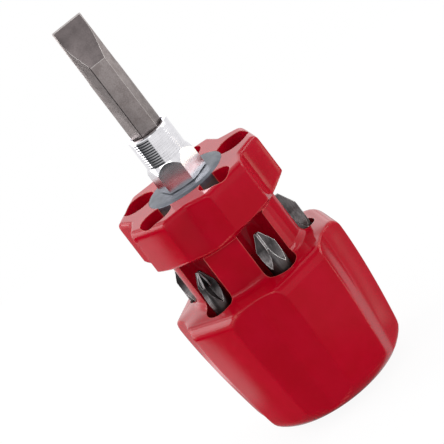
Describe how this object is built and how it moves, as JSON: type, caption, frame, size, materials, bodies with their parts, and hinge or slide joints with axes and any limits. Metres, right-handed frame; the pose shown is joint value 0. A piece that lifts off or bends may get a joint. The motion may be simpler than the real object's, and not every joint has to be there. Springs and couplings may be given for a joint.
{
  "type": "pocket screwdriver",
  "caption": "Stubby screwdriver with a lobed red handle, chrome bit holder, slotted blade, and spare bits that slide out of the handle's waist.",
  "frame": {"origin": "centre of the flat at the butt of the handle, on the tool's axis", "axes": "+Z along the axis towards the blade; +Y through the middle of the lobe behind the holder as pictured; +X to the right"},
  "size_m": [0.0398, 0.0381, 0.097],
  "materials": {
    "red_plastic": "glossy moulded red plastic",
    "core_plastic": "dark brown-grey, matt",
    "disc_steel": "blue-grey, finely blasted",
    "chromed_steel": "bright chrome over fine turning marks",
    "magnet": "nickel-plated",
    "spring_steel": "spring wire",
    "blasted_steel": "warm grey, sand-blasted",
    "bit_steel": "dark grey with bright edges"
  },
  "bodies": {
    "handle": {"handle": "red_plastic", "core_barrel": "core_plastic", "front_disc": "disc_steel", "bit_holder": "chromed_steel", "socket_magnet": "magnet", "retaining_ring": "spring_steel"},
    "blade": {"blade_bit": "blasted_steel"},
    "stored_a": {"cross_bit_a": "bit_steel"},
    "stored_b": {"cross_bit_b": "bit_steel"},
    "stored_c": {"cross_bit_c": "bit_steel"},
    "stored_d": {"cross_bit_d": "bit_steel"},
    "stored_e": {"slotted_bit_e": "bit_steel"}
  },
  "joints": [
    {"name": "blade_slide", "type": "slide", "parent": "handle", "child": "blade", "axis": [0, 0, 1], "range_m": [0, 0.02]},
    {"name": "bit_a_slide", "type": "slide", "parent": "handle", "child": "stored_a", "axis": [0, 0, 1], "range_m": [0, 0.054]},
    {"name": "bit_b_slide", "type": "slide", "parent": "handle", "child": "stored_b", "axis": [0, 0, 1], "range_m": [0, 0.054]},
    {"name": "bit_c_slide", "type": "slide", "parent": "handle", "child": "stored_c", "axis": [0, 0, 1], "range_m": [0, 0.054]},
    {"name": "bit_d_slide", "type": "slide", "parent": "handle", "child": "stored_d", "axis": [0, 0, 1], "range_m": [0, 0.054]},
    {"name": "bit_e_slide", "type": "slide", "parent": "handle", "child": "stored_e", "axis": [0, 0, 1], "range_m": [0, 0.054]}
  ]
}
